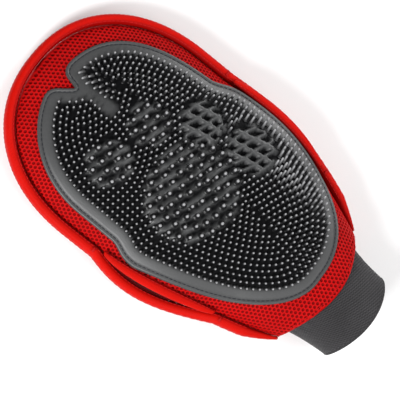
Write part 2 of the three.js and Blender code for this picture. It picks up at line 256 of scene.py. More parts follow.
# Shader node helpers. Effects that several materials share are groups.
def newMaterial(name, roughness, specular=0.5):
    material = bpy.data.materials.new(name)
    material.use_nodes = True
    shader = material.node_tree.nodes["Principled BSDF"]
    shader.inputs["Roughness"].default_value = roughness
    shader.inputs["Specular IOR Level"].default_value = specular
    return material, material.node_tree, shader


def node(tree, kind, sockets=None, **settings):
    # a node with its settings, and each named input linked or given its value
    made = tree.nodes.new(kind)
    for key, value in settings.items():
        setattr(made, key, value)
    for key, value in (sockets or {}).items():
        if isinstance(value, bpy.types.NodeSocket):
            tree.links.new(value, made.inputs[key])
        else:
            made.inputs[key].default_value = value
    return made


def math2(tree, operation, a, b=0.0):
    return node(tree, "ShaderNodeMath", {0: a, 1: b}, operation=operation).outputs[0]


def mixColors(tree, factor, a, b):
    a, b = ((*color, 1) if isinstance(color, tuple) else color for color in (a, b))
    return node(tree, "ShaderNodeMix", {0: factor, 6: a, 7: b}, data_type="RGBA").outputs[2]


def newGroup(name, inputs, outputs):
    tree = bpy.data.node_groups.new(name, "ShaderNodeTree")
    for label, kind, value in inputs:
        socket = tree.interface.new_socket(name=label, in_out="INPUT", socket_type=kind)
        socket.default_value = value
    for label, kind in outputs:
        tree.interface.new_socket(name=label, in_out="OUTPUT", socket_type=kind)
    return tree, tree.nodes.new("NodeGroupInput"), tree.nodes.new("NodeGroupOutput")


def useGroup(tree, group, **values):
    sockets = {key: (*value, 1) if isinstance(value, tuple) else value for key, value in values.items()}
    return node(tree, "ShaderNodeGroup", sockets, node_tree=group)


def makeShadeVariation():
    tree, start, end = newGroup(
        "shadeVariation",
        [("Color", "NodeSocketColor", (1, 1, 1, 1)), ("Patch", "NodeSocketFloat", 40.0),
         ("Grain", "NodeSocketFloat", 900.0), ("Amount", "NodeSocketFloat", 0.2)],
        [("Color", "NodeSocketColor"), ("Grain", "NodeSocketFloat")])
    place = tree.nodes.new("ShaderNodeTexCoord")
    patch, grain = (
        node(tree, "ShaderNodeTexNoise", {"Detail": detail, "Vector": place.outputs["Object"],
                                          "Scale": start.outputs[label]})
        for label, detail in (("Patch", 3.0), ("Grain", 2.0)))
    both = math2(tree, "ADD", patch.outputs["Fac"], grain.outputs["Fac"])
    centred = math2(tree, "SUBTRACT", both, 1.0)
    swing = math2(tree, "MULTIPLY", centred, start.outputs["Amount"])
    level = math2(tree, "ADD", swing, 1.0)
    shade = node(tree, "ShaderNodeVectorMath", {0: start.outputs["Color"], "Scale": level}, operation="SCALE")
    tree.links.new(shade.outputs["Vector"], end.inputs["Color"])
    tree.links.new(grain.outputs["Fac"], end.inputs["Grain"])
    return tree


def makeClothWeave():
    # crossed waves on the piece's own map, whose unit is a millimetre
    tree, start, end = newGroup(
        "clothWeave",
        [("Pitch", "NodeSocketFloat", 1.0), ("Slant", "NodeSocketFloat", 0.0)],
        [("Height", "NodeSocketFloat"), ("Shade", "NodeSocketFloat")])
    place = tree.nodes.new("ShaderNodeUVMap")
    split = node(tree, "ShaderNodeSeparateXYZ", {0: place.outputs["UV"]})
    turns = math2(tree, "DIVIDE", 2 * math.pi, start.outputs["Pitch"])
    lean = math2(tree, "MULTIPLY", split.outputs["Y"], start.outputs["Slant"])
    along = math2(tree, "MULTIPLY", math2(tree, "ADD", split.outputs["X"], lean), turns)
    across = math2(tree, "MULTIPLY", split.outputs["Y"], turns)
    ribs = math2(tree, "SINE", along)
    product = math2(tree, "MULTIPLY", ribs, math2(tree, "SINE", across))
    height = math2(tree, "ADD", math2(tree, "MULTIPLY", product, 0.5), math2(tree, "MULTIPLY", ribs, 0.5))
    tree.links.new(height, end.inputs["Height"])
    # painted shade: the low parts of the weave are darker and the crests lighter
    shade = math2(tree, "ADD", math2(tree, "MULTIPLY", height, 0.5), 0.5)
    tree.links.new(shade, end.inputs["Shade"])
    return tree


shadeVariation = makeShadeVariation()
clothWeave = makeClothWeave()


def attributeValue(tree, name):
    return node(tree, "ShaderNodeAttribute", attribute_name=name).outputs["Fac"]


# For each material: its shine, its colour and how that varies, and the depth of its fine relief in metres
surfaces = {
    "padRubber": {"roughness": 0.42, "specular": 0.42, "color": (0.050, 0.051, 0.052), "patch": 55.0,
                  "grain": 1400.0, "vary": 0.35, "bump": 0.25, "depth": 0.0003,
                  # the near-black field colour is painted shade for the pad's floor among the pins
                  "fieldColor": (0.0035, 0.0035, 0.004), "fieldDull": 0.40,
                  "leastRough": 0.32, "roughSwing": 0.25},
    "pinRubber": {"roughness": 0.42, "specular": 0.3, "color": (0.33, 0.33, 0.34), "patch": 120.0,
                  "grain": 1600.0, "vary": 0.3, "bump": 0.12, "depth": 0.0002,
                  # the dark foot is painted shade and the light tip colour is a painted highlight
                  "foot": (0.15, (0.004, 0.004, 0.0045)), "stem": (0.62, (0.045, 0.045, 0.048)), "tip": 0.97},
    "meshYarn": {"roughness": 0.6, "specular": 0.06, "color": (0.44, 0.003, 0.003), "patch": 35.0,
                 "grain": 2600.0, "vary": 0.45, "bump": 0.4, "depth": 0.0003,
                 # the dark red pit colour is painted shade in the mesh holes
                 "pitColor": (0.17, 0.0010, 0.0012)},
    "wovenTape": {"roughness": 0.5, "specular": 0.06, "color": (0.58, 0.0045, 0.0012), "patch": 30.0,
                  "grain": 1100.0, "vary": 0.3, "bump": 0.5, "depth": 0.00012,
                  # the dark fold colour is painted shade on the tape's inner turn and underside
                  "pitch": 0.9, "slant": 0.5, "gapDark": 0.35, "foldColor": (0.19, 0.0004, 0.0004)},
    "liningTricot": {"roughness": 0.75, "specular": 0.06, "color": (0.03, 0.03, 0.034), "patch": 30.0,
                     "grain": 1100.0, "vary": 0.3, "bump": 0.6, "depth": 0.00012,
                     "pitch": 1.4, "slant": 0.5, "gapDark": 0.35},
    "brushedPile": {"roughness": 0.85, "specular": 0.25, "sheen": 0.6, "color": (0.52, 0.010, 0.012),
                    "patch": 18.0, "grain": 1900.0, "vary": 0.55, "bump": 0.7, "depth": 0.0006},
    "redThread": {"roughness": 0.6, "specular": 0.15, "color": (0.42, 0.003, 0.003), "patch": 200.0,
                  "grain": 3500.0, "vary": 0.5, "bump": 0.5, "depth": 0.0002},
    "darkThread": {"roughness": 0.6, "specular": 0.15, "color": (0.02, 0.022, 0.026), "patch": 200.0,
                   "grain": 3500.0, "vary": 0.5, "bump": 0.5, "depth": 0.0002},
    "foamCell": {"roughness": 0.95, "specular": 0.2, "color": (0.05, 0.05, 0.055), "patch": 60.0,
                 "grain": 1200.0, "vary": 0.5, "bump": 0.8, "depth": 0.0006},
    "elasticKnit": {"roughness": 0.85, "specular": 0.15, "sheen": 0.1, "color": (0.054, 0.052, 0.055),
                    "patch": 45.0, "grain": 1500.0, "vary": 0.75, "bump": 0.7, "depth": 0.0003,
                    "pitch": 2.0, "slant": 0.5, "gapDark": 0.75},
}


def makeSurface(name, finish=None):
    # finish may change the colour and the height before they reach the shader
    v = surfaces[name]
    material, tree, shader = newMaterial(name, v["roughness"], v["specular"])
    shader.inputs["Sheen Weight"].default_value = v.get("sheen", 0.0)
    varied = useGroup(tree, shadeVariation, Color=v["color"], Patch=v["patch"], Grain=v["grain"],
                      Amount=v["vary"])
    color, height = varied.outputs["Color"], varied.outputs["Grain"]
    if finish:
        color, height = finish(v, tree, shader, color, height)
    bump = node(tree, "ShaderNodeBump", {"Strength": v["bump"], "Distance": v["depth"], "Height": height})
    tree.links.new(bump.outputs["Normal"], shader.inputs["Normal"])
    tree.links.new(color, shader.inputs["Base Color"])
    return material


def padFinish(v, tree, shader, color, grain):
    # painted shade: the floor among the pins is mixed towards near black where shade falls between them
    field = attributeValue(tree, "pinFieldShade")
    rough = math2(tree, "ADD", math2(tree, "MULTIPLY", grain, v["roughSwing"]), v["leastRough"])
    shine = math2(tree, "SUBTRACT", v["specular"], math2(tree, "MULTIPLY", field, v["fieldDull"]))
    tree.links.new(rough, shader.inputs["Roughness"])
    tree.links.new(shine, shader.inputs["Specular IOR Level"])
    return mixColors(tree, field, color, v["fieldColor"]), grain


def pinFinish(v, tree, shader, color, grain):
    # painted shade and light: dark at the foot as painted shade among the pins, light at the tip as a painted
    # highlight, and a painted highlight all the way up the stem of a pin that leans
    rise = attributeValue(tree, "rise")
    ramp = node(tree, "ShaderNodeValToRGB", {"Fac": rise})
    stops = ramp.color_ramp.elements
    stops.new(v["stem"][0])
    for stop, (position, shade) in zip(stops, (v["foot"], v["stem"], (v["tip"], v["color"]))):
        stop.position = position
        stop.color = (*shade, 1)
    tree.links.new(ramp.outputs["Color"], color.node.inputs["Color"])
    stemHighlight = math2(tree, "MULTIPLY", attributeValue(tree, "pinStemHighlight"), rise)
    return mixColors(tree, stemHighlight, color, v["color"]), grain


def yarnFinish(v, tree, shader, color, grain):
    # painted shade: the floors of the mesh holes are painted dark red where shade falls in them
    return mixColors(tree, attributeValue(tree, "pit"), color, v["pitColor"]), grain


def wovenFinish(v, tree, shader, color, grain):
    weave = useGroup(tree, clothWeave, Pitch=v["pitch"], Slant=v["slant"])
    # painted shade: gapDark mixes the gaps between the yarns towards black
    dark = mixColors(tree, v["gapDark"], color, (0.0, 0.0, 0.0))
    return mixColors(tree, weave.outputs["Shade"], dark, color), weave.outputs["Height"]


def tapeFinish(v, tree, shader, color, grain):
    color, height = wovenFinish(v, tree, shader, color, grain)
    # painted shade on the tape's inner turn and underside
    return mixColors(tree, attributeValue(tree, "tapeFoldShade"), color, v["foldColor"]), height


def knitFinish(v, tree, shader, color, grain):
    color, height = wovenFinish(v, tree, shader, color, grain)
    return color, math2(tree, "ADD", height, grain)


padRubber = makeSurface("padRubber", padFinish)
pinRubber = makeSurface("pinRubber", pinFinish)
meshYarn = makeSurface("meshYarn", yarnFinish)
wovenTape = makeSurface("wovenTape", tapeFinish)
liningTricot = makeSurface("liningTricot", wovenFinish)
brushedPile = makeSurface("brushedPile")
redThread = makeSurface("redThread")
darkThread = makeSurface("darkThread")
foamCell = makeSurface("foamCell")
elasticKnit = makeSurface("elasticKnit", knitFinish)
print("stage: materials")


# Geometry node trees. Lengths are in metres.
def newGeometryTree(name, labels):
    tree = bpy.data.node_groups.new(name, "GeometryNodeTree")
    tree.interface.new_socket(name="Geometry", in_out="INPUT", socket_type="NodeSocketGeometry")
    identifiers = {}
    for label in labels:
        socket = tree.interface.new_socket(name=label, in_out="INPUT", socket_type="NodeSocketFloat")
        identifiers[label] = socket.identifier
    socket = tree.interface.new_socket(name="Material", in_out="INPUT", socket_type="NodeSocketMaterial")
    identifiers["Material"] = socket.identifier
    tree.interface.new_socket(name="Geometry", in_out="OUTPUT", socket_type="NodeSocketGeometry")
    return tree, tree.nodes.new("NodeGroupInput"), identifiers


def applyTree(obj, tree, identifiers, values):
    modifier = obj.modifiers.new("tree", "NODES")
    modifier.node_group = tree
    for label, value in values.items():
        modifier[identifiers[label]] = value
    bakeModifiers(obj)
    obj.data.name = obj.name
    obj.data.polygons.foreach_set("use_smooth", [True] * len(obj.data.polygons))
    return obj


def bakeModifiers(obj):
    graph = bpy.context.evaluated_depsgraph_get()
    graph.update()
    mesh = bpy.data.meshes.new_from_object(obj.evaluated_get(graph))
    old = obj.data
    obj.modifiers.clear()
    obj.data = mesh
    bpy.data.meshes.remove(old)


def finishTree(tree, start, shape):
    realize = node(tree, "GeometryNodeRealizeInstances", {0: shape})
    painted = node(tree, "GeometryNodeSetMaterial",
                   {"Geometry": realize.outputs[0], "Material": start.outputs["Material"]})
    node(tree, "NodeGroupOutput", {0: painted.outputs[0]})


def storedValue(tree, name, kind):
    made = node(tree, "GeometryNodeInputNamedAttribute", {"Name": name}, data_type=kind)
    return made.outputs["Attribute"]


def storeValue(tree, name, shape, value):
    sockets = {"Name": name, "Geometry": shape, "Value": value}
    made = node(tree, "GeometryNodeStoreNamedAttribute", sockets, data_type="FLOAT", domain="POINT")
    return made.outputs[0]


pinShape = {
    "rings": 12,
    "sides": 8,
    "profile": [(0, 1.0), (1, 0.06), (0.1, 0.62), (0.25, 0.5), (0.75, 0.36), (0.86, 0.37), (0.95, 0.27)],
    "profileScale": 2.0,
    "leastSize": (0.95, 0.95, 0.93),
    "mostSize": (1.05, 1.05, 1.06),
    "seed": 7,
}


def makePinTree():
    v = pinShape
    tree, start, ids = newGeometryTree("moulded pins", ("Length", "Radius"))
    top = node(tree, "ShaderNodeCombineXYZ", {"Z": start.outputs["Length"]})
    line = node(tree, "GeometryNodeCurvePrimitiveLine", {"End": top.outputs[0]})
    resample = node(tree, "GeometryNodeResampleCurve", {"Curve": line.outputs[0], "Count": v["rings"]})
    factor = node(tree, "GeometryNodeSplineParameter").outputs["Factor"]
    stored = storeValue(tree, "rise", resample.outputs[0], factor)
    profile = node(tree, "ShaderNodeFloatCurve", {"Value": factor})
    points = profile.mapping.curves[0].points
    for index in (0, 1):
        points[index].location = v["profile"][index]
    for x, y in v["profile"][2:]:
        points.new(x, y)
    profile.mapping.update()
    radius = math2(tree, "MULTIPLY", profile.outputs[0], start.outputs["Radius"])
    stem = node(tree, "GeometryNodeSetCurveRadius", {"Curve": stored, "Radius": radius})
    ring = node(tree, "GeometryNodeCurvePrimitiveCircle",
                {"Resolution": v["sides"], "Radius": v["profileScale"]})
    sockets = {"Curve": stem.outputs[0], "Profile Curve": ring.outputs[0], "Fill Caps": True, "Scale": radius}
    sweep = node(tree, "GeometryNodeCurveToMesh", sockets)
    turn = node(tree, "FunctionNodeAlignRotationToVector",
                {"Vector": storedValue(tree, "pinAxis", "FLOAT_VECTOR")}, axis="Z")
    size = node(tree, "FunctionNodeRandomValue", data_type="FLOAT_VECTOR")
    size.inputs["Min"].default_value = v["leastSize"]
    size.inputs["Max"].default_value = v["mostSize"]
    size.inputs["Seed"].default_value = v["seed"]
    place = node(tree, "GeometryNodeInstanceOnPoints", {
        "Points": start.outputs["Geometry"], "Instance": sweep.outputs[0],
        "Rotation": turn.outputs[0], "Scale": size.outputs[0]})
    finishTree(tree, start, place.outputs[0])
    return tree, ids


stitchShape = {"arcSteps": 5, "threadSides": 6, "dip": -0.6, "crest": 1.6}


def makeStitchTree():
    v = stitchShape
    tree, start, ids = newGeometryTree("stitch row", ("Pitch", "Stitch Length", "Thread Radius", "Arch"))
    path = node(tree, "GeometryNodeMeshToCurve", {"Mesh": start.outputs["Geometry"]})
    resample = node(tree, "GeometryNodeResampleCurve", {"Curve": path.outputs[0]}, mode="LENGTH")
    tree.links.new(start.outputs["Pitch"], resample.inputs["Length"])
    tangent = node(tree, "GeometryNodeInputTangent")
    axes = node(tree, "FunctionNodeAxesToRotation", {
        "Primary Axis": tangent.outputs[0], "Secondary Axis": storedValue(tree, "up", "FLOAT_VECTOR")},
        primary_axis="X", secondary_axis="Z")
    back, front = (math2(tree, "MULTIPLY", start.outputs["Stitch Length"], half) for half in (-0.5, 0.5))
    low, high = (math2(tree, "MULTIPLY", start.outputs["Arch"], v[level]) for level in ("dip", "crest"))
    corners = {"Start": {"X": back, "Z": low}, "Middle": {"Z": high}, "End": {"X": front, "Z": low}}
    arc = node(tree, "GeometryNodeCurveQuadraticBezier", {"Resolution": v["arcSteps"]})
    for socket, corner in corners.items():
        tree.links.new(node(tree, "ShaderNodeCombineXYZ", corner).outputs[0], arc.inputs[socket])
    ring = node(tree, "GeometryNodeCurvePrimitiveCircle",
                {"Resolution": v["threadSides"], "Radius": start.outputs["Thread Radius"]})
    sweep = node(tree, "GeometryNodeCurveToMesh",
                 {"Curve": arc.outputs[0], "Profile Curve": ring.outputs[0], "Fill Caps": True})
    place = node(tree, "GeometryNodeInstanceOnPoints", {
        "Points": resample.outputs[0], "Instance": sweep.outputs[0], "Rotation": axes.outputs[0]})
    finishTree(tree, start, place.outputs[0])
    return tree, ids


pitFloorShare = 0.8


def makeMeshTree():
    # each triangle lattice point becomes a six-sided cell; cells on the outer face get a sunken hole
    tree, start, ids = newGeometryTree("air mesh", ("Hole Share", "Hole Depth", "Yarn Rise"))
    dual = node(tree, "GeometryNodeDualMesh", {"Mesh": start.outputs["Geometry"]})
    isOuter = node(tree, "FunctionNodeCompare", {"A": storedValue(tree, "outer", "FLOAT"), "B": 0.5},
                   data_type="FLOAT", operation="GREATER_THAN").outputs[0]
    normal = node(tree, "GeometryNodeInputNormal")
    lift = node(tree, "ShaderNodeVectorMath", {0: normal.outputs[0], "Scale": start.outputs["Yarn Rise"]},
                operation="SCALE")
    raised = node(tree, "GeometryNodeSetPosition",
                  {"Geometry": dual.outputs[0], "Selection": isOuter, "Offset": lift.outputs[0]})
    rim = node(tree, "GeometryNodeExtrudeMesh", {
        "Mesh": raised.outputs[0], "Selection": isOuter, "Offset Scale": 0, "Individual": True}, mode="FACES")
    shrink = node(tree, "GeometryNodeScaleElements", {
        "Geometry": rim.outputs["Mesh"], "Selection": rim.outputs["Top"],
        "Scale": start.outputs["Hole Share"]})
    depth = math2(tree, "MULTIPLY", start.outputs["Hole Depth"], -1.0)
    sink = node(tree, "GeometryNodeExtrudeMesh", {
        "Mesh": shrink.outputs[0], "Selection": rim.outputs["Top"], "Offset Scale": depth,
        "Individual": True}, mode="FACES")
    narrow = node(tree, "GeometryNodeScaleElements", {
        "Geometry": sink.outputs["Mesh"], "Selection": sink.outputs["Top"], "Scale": pitFloorShare})
    # pit marks the hole floors, which the yarn material paints darker as painted shade
    inPit = node(tree, "GeometryNodeSwitch", {"Switch": sink.outputs["Top"], "True": 1.0}, input_type="FLOAT")
    finishTree(tree, start, storeValue(tree, "pit", narrow.outputs[0], inPit.outputs[0]))
    return tree, ids


pinTree, pinInputs = makePinTree()
stitchTree, stitchInputs = makeStitchTree()
meshTree, meshInputs = makeMeshTree()


# Stitches, in millimetres
stitchLook = {
    "pad": {"pitch": 3.0, "length": 2.5, "radius": 0.32, "arch": 0.35},
    "edge": {"pitch": 2.9, "length": 2.3, "radius": 0.3, "arch": 0.35},
    "fine": {"pitch": 2.9, "length": 2.3, "radius": 0.28, "arch": 0.3},
    "cuff": {"pitch": 1.6, "length": 1.9, "radius": 0.45, "arch": 0.5},
}


def stitchRow(name, pathPoints, ups, material, look, closed=False):
    v = stitchLook[look]
    count = len(pathPoints)
    edges = [(i, (i + 1) % count) for i in range(count if closed else count - 1)]
    row = makeObject(name, pathPoints, [], edges=edges)
    addAttribute(row, "up", "FLOAT_VECTOR", ups)
    settings = {
        "Pitch": v["pitch"] * 0.001,
        "Stitch Length": v["length"] * 0.001,
        "Thread Radius": v["radius"] * 0.001,
        "Arch": v["arch"] * 0.001,
        "Material": material,
    }
    return applyTree(row, stitchTree, stitchInputs, settings)


# Cloth layers between two insets of one side of the mitt
layerGrid = {"columns": 96, "rows": 96}


def layerPoints(side, inset, columns, rows, ripple=None):
    across = np.sin((np.arange(columns + 1) / columns - 0.5) * math.pi)[None, :]
    start = heelEdge(across)
    reach = mittForm["fingertip"] - mittForm["binding"] - inset
    y = start + (reach - start) * np.sin(np.arange(rows + 1) / rows * math.pi / 2)[:, None]
    points = sidePoint(side, np.broadcast_to(across, y.shape), y, inset)
    if ripple is not None:
        points[..., 2] += side["sign"] * ripple(points[..., 0], points[..., 1])
    return points


def closedLayer(name, side, outerInset, innerInset, material, columns, rows, ripple=None):
    outer = layerPoints(side, outerInset, columns, rows, ripple)
    inner = layerPoints(side, innerInset, columns, rows, ripple)
    points = np.concatenate([outer.reshape(-1, 3), inner.reshape(-1, 3)])
    width = columns + 1
    skin = gridFaces(rows + 1, width)
    # the fingertip row is a single point, so it needs no band
    rim = [edge for edge in openEdges(skin) if min(edge) < rows * width]
    faces = shellFaces(skin, rim, (rows + 1) * width)
    if side["sign"] < 0:
        faces = [f[::-1] for f in faces]
    layer = makeObject(name, points, faces, material, points[:, :2])
    weld = layer.modifiers.new("weld", "WELD")
    weld.merge_threshold = 1e-6
    bakeModifiers(layer)
    return layer


def clothRipple(amount, wavelength):
    def ripple(x, y):
        a = np.sin(x / wavelength + 0.6 * np.sin(y / wavelength * 0.7))
        b = np.sin(y / wavelength * 1.3 + 0.8 * np.sin(x / wavelength * 0.5))
        return amount * a * b
    return ripple


insideLayers = {"shell": 1.6, "foam": 1.4, "lining": 0.8, "gap": 0.3, "ripple": 0.25, "rippleLength": 11.0}


def makeLayers():
    v = insideLayers
    foamStart = v["shell"] + v["gap"]
    foamEnd = foamStart + v["foam"]
    liningStart = foamEnd + v["gap"]
    columns, rows = layerGrid["columns"], layerGrid["rows"]
    for word, side in (("palm", palmSide), ("back", backSide)):
        foam = closedLayer(word + "Foam", side, foamStart, foamEnd, foamCell, columns // 2, rows // 2)
        dress(foam, word + "_foam_layer")
        lining = closedLayer(word + "Lining", side, liningStart, liningStart + v["lining"], liningTricot,
                             columns, rows)
        dress(lining, word + "_lining")
    back = closedLayer("backPanel", backSide, 0.0, v["shell"], brushedPile, columns, rows,
                       clothRipple(v["ripple"], v["rippleLength"]))
    back.data.transform(Matrix.Translation((0, 0, v["ripple"] * 0.001)))
    dress(back, "back_panel")


makeLayers()
print("stage: back and inner layers")


# Pad outline: two finger lobes with a notch between them, stepped sides and a round heel
def bezier(points, count):
    t = np.linspace(0, 1, count, endpoint=False)[:, None]
    points = [np.array(p, float) for p in points]
    while len(points) > 1:
        points = [a + (b - a) * t for a, b in zip(points, points[1:])]
    return points[0]


def resampleLoop(loop, spacing):
    ring = np.concatenate([loop, loop[:1]])
    lengths = np.concatenate([[0], np.cumsum(np.linalg.norm(np.diff(ring, axis=0), axis=1))])
    count = int(round(lengths[-1] / spacing))
    at = np.arange(count) * lengths[-1] / count
    return np.stack([np.interp(at, lengths, ring[:, i]) for i in range(ring.shape[1])], 1)


def padOutline(spacing):
    curves = [
        [(-2, 201.5), (-7.5, 208.5)],
        [(-7.5, 208.5), (-11, 214.5), (-17, 213.5)],
        [(-17, 213.5), (-38, 208.5), (-61, 187.5), (-61.5, 152)],
        [(-61.5, 152), (-62, 125)],
        [(-62, 125), (-63.5, 118), (-67, 117), (-66.5, 105)],
        [(-66.5, 105), (-62, 86), (-45, 6), (-2, 10)],
        [(-2, 10), (42, 7), (70, 46), (68, 106)],
        [(68, 106), (68.5, 126), (63.5, 127), (60, 137)],
        [(60, 137), (58, 165.5), (53, 205.5), (14.5, 213.5)],
        [(14.5, 213.5), (2, 216.5), (0, 207.5)],
        [(0, 207.5), (-2, 201.5)],
    ]
    loop = resampleLoop(np.concatenate([bezier(c, 40) for c in curves]), spacing)
    for _ in range(int(3 / spacing)):
        loop = (np.roll(loop, 1, 0) + 2 * loop + np.roll(loop, -1, 0)) / 4
    return loop


def loopInward(loop, reach):
    tangent = unit(np.roll(loop, -reach, 0) - np.roll(loop, reach, 0))
    return np.stack([-tangent[:, 1], tangent[:, 0]], 1)


def distanceInside(points, loop):
    start, end = loop, np.roll(loop, -1, 0)
    span = end - start
    result = np.zeros(len(points))
    for low in range(0, len(points), 2000):
        p = points[low:low + 2000, None, :]
        t = np.clip(((p - start) * span).sum(-1) / (span * span).sum(-1), 0, 1)
        gap = np.linalg.norm(p - (start + t[..., None] * span), axis=-1).min(1)
        crosses = (start[:, 1] > p[..., 1]) != (end[:, 1] > p[..., 1])
        with np.errstate(divide="ignore", invalid="ignore"):
            x = start[:, 0] + span[:, 0] * (p[..., 1] - start[:, 1]) / span[:, 1]
        inside = (crosses & (p[..., 0] < x)).sum(1) % 2 == 1
        result[low:low + 2000] = np.where(inside, gap, -gap)
    return result


padLook = {
    "base": 0.3,
    "underside": 0.1,
    "borderWidth": 9.8,
    "fieldStart": 8.8,
    "rings": (0.25, 0.7, 1.4, 1.9, 2.4, 2.9, 3.5, 4.6, 6.0, 7.6),
    "rimInsets": [0, 0.25, 0.7, 1.4, 1.9, 2.4, 2.9, 3.5, 7.5, 9.5],
    "rimHeights": [1.1, 1.65, 1.95, 1.95, 1.6, 1.2, 1.6, 1.85, 1.8, 1.55],
    "outlineSpacing": 1.1,
    "fieldSpacing": 2.2,
    "islandSpacing": 1.2,
    "stitchInset": 2.4,
    "moundHeight": 1.7,
    "moundRadius": 4.3,
    "islands": [(-9, 106, 31, 28), (-27, 157, 13, 13), (8, 153, 13, 12), (30, 127, 14, 14), (37, 92, 15, 16)],
    "nets": 2,
    "netPitch": 8.2,
    "netHeight": 3.4,
    "ridgeSlant": -21.0,
    "ridgePitch": 6.9,
    "ridgeHeight": 1.7,
    "smallSpacing": 3.85,
    "smallRowStep": 3.5,
    "largeSpacing": 6.9,
}
pinSizes = {
    "smallPins": {"length": 5.2, "radius": 0.94, "sink": 0.3},
    "largePins": {"length": 4.2, "radius": 1.38, "sink": 0.4},
}
notchStrip = {"fromY": 170, "fadeY": 6, "middleX": 0.5, "halfWidth": 5.5, "fadeX": 2.5}
netLines = {"edge": 1.05, "pitFrom": 0.25, "fade": 0.12, "slantA": (0.36, 0.93), "slantB": (0.99, 0.15),
            "closeA": 0.74, "wanderX": (0.5, 4.0), "wanderY": (0.6, 6.0)}
# Where pins lean: each place fades in from a start over a length, and pushes the tips across and along; the
# light values turn the lean into a painted highlight on the stems
pinPush = {
    "notchY": (176, 8), "notchX": (16, -6), "notch": -0.75,
    "tipY": (192, 10), "tip": (-0.35, 0.25), "rightOf": 1,
    "palmX": (26, 18), "palmY": (118, -20), "palm": (1.4, 0.25),
    "sideX": (15, 45), "side": 0.25, "heelY": (40, -30), "heel": 0.25,
    "lightGain": 1.2, "lightFrom": 0.35, "lightMost": 0.9,
}
outlineLoop = padOutline(padLook["outlineSpacing"])
fineLoop = padOutline(0.4)


def latticePoints(spacing, keep):
    rowStep = spacing * math.sqrt(3) / 2
    rows = np.arange(int(240 / rowStep))
    columns = np.arange(-int(80 / spacing), int(80 / spacing) + 1)
    grid = np.array([((c + (r % 2) / 2) * spacing, r * rowStep) for r in rows for c in columns])
    return grid[keep(grid)]


def fade(value, start, length):
    # 0 at the start and 1 a length further on, or further back where the length is negative
    return np.clip((value - start) / length, 0, 1)


def islandLevel(points, margin, islands=padLook["islands"]):
    levels = [np.hypot((points[:, 0] - x) / (rx + margin), (points[:, 1] - y) / (ry + margin))
              for x, y, rx, ry in islands]
    return np.min(levels, axis=0)


def rowAlongOutline(inset, spacing, shift):
    points = fineLoop + loopInward(fineLoop, 4) * inset
    kept = distanceInside(points, outlineLoop) > inset - 0.2
    places = []
    starts = np.nonzero(kept & ~np.roll(kept, 1))[0]
    if kept.all():
        starts = [0]
    for first in starts:
        run = []
        for k in range(len(points)):
            index = (first + k) % len(points)
            if not kept[index]:
                break
            run.append(points[index])
        run = np.array(run)
        if len(run) < 2:
            continue
        lengths = np.concatenate([[0], np.cumsum(np.linalg.norm(np.diff(run, axis=0), axis=1))])
        at = np.arange(shift * spacing, lengths[-1], spacing)
        places.append(np.stack([np.interp(at, lengths, run[:, i]) for i in (0, 1)], 1))
    return np.concatenate(places) if places else np.zeros((0, 2))


def spreadOut(points, least):
    kept = []
    for point in points:
        if not kept or np.linalg.norm(np.array(kept) - point, axis=1).min() >= least:
            kept.append(point)
    return np.array(kept)


def notchValley(points):
    # a bare strip that carries on from the notch between the two lobes of pins
    v = notchStrip
    along = fade(points[:, 1], v["fromY"], v["fadeY"])
    return along * fade(np.abs(points[:, 0] - v["middleX"]), v["halfWidth"], -v["fadeX"])


def smallPinPlaces():
    rows = []
    inset = padLook["borderWidth"]
    row = 0
    while inset < 66:
        rows.append(rowAlongOutline(inset, padLook["smallSpacing"], 0.5 * (row % 2)))
        inset += padLook["smallRowStep"]
        row += 1
    places = spreadOut(np.concatenate(rows), 3.0)
    return places[(islandLevel(places, 1.5) > 1) & (notchValley(places) < 0.5)]


def netPhase(points):
    # two slanting families of lines, whose crossings are the closed parts of a raised net
    v, pitch = netLines, padLook["netPitch"]
    x, y = points[:, 0], points[:, 1]
    wander = v["wanderY"][0] * np.sin(y / v["wanderY"][1])
    wander = wander + v["wanderX"][0] * np.sin(x / v["wanderX"][1] + 1.0)
    a = (x * v["slantA"][0] + y * v["slantA"][1] + wander) / (v["closeA"] * pitch)
    b = (x * v["slantB"][0] + y * v["slantB"][1] - wander) / pitch
    return np.abs((a % 1) - 0.5), np.abs((b % 1) - 0.5)


def netHeight(points):
    # the last islands are a raised net with open pits between its strands
    v = netLines
    level = islandLevel(points, 0.0, padLook["islands"][-padLook["nets"]:])
    inside = fade(level, v["edge"], -v["fade"])
    pit = fade(np.maximum(*netPhase(points)), v["pitFrom"], v["fade"])
    return padLook["netHeight"] * pit * inside, inside


def largePinPlaces():
    # rings inside each smooth island, from its edge inwards
    spacing = padLook["largeSpacing"]
    places = []
    for index, (x, y, rx, ry) in enumerate(padLook["islands"][:-padLook["nets"]]):
        rx, ry = rx - 1.5, ry - 1.5
        ring = 0
        while min(rx, ry) > 1.0:
            girth = math.pi * (rx + ry)
            count = max(1, round(girth / spacing))
            angle = (np.arange(count) + 0.5 * (ring % 2) + 0.17 * index) / count * 2 * math.pi
            places.append(np.stack([x + rx * np.cos(angle), y + ry * np.sin(angle)], 1))
            rx, ry = rx - spacing * 0.9, ry - spacing * 0.9
            ring += 1
    places = spreadOut(np.concatenate(places), spacing * 0.72)
    return places[distanceInside(places, outlineLoop) > padLook["borderWidth"] - 1]


smallPlaces = smallPinPlaces()
largePlaces = largePinPlaces()
print("pins:", len(smallPlaces), "small and", len(largePlaces), "large")


def moundHeight(points):
    gap = np.full(len(points), 99.0)
    for place in largePlaces:
        gap = np.minimum(gap, np.linalg.norm(points - place, axis=1))
    cone = np.clip(1 - gap / padLook["moundRadius"], 0, 1) ** 1.3
    inside = fade(islandLevel(points, 2.5), 1.08, -0.16)
    net, share = netHeight(points)
    return (padLook["moundHeight"] * cone + ridgeHeight(points)) * inside * (1 - share) + net


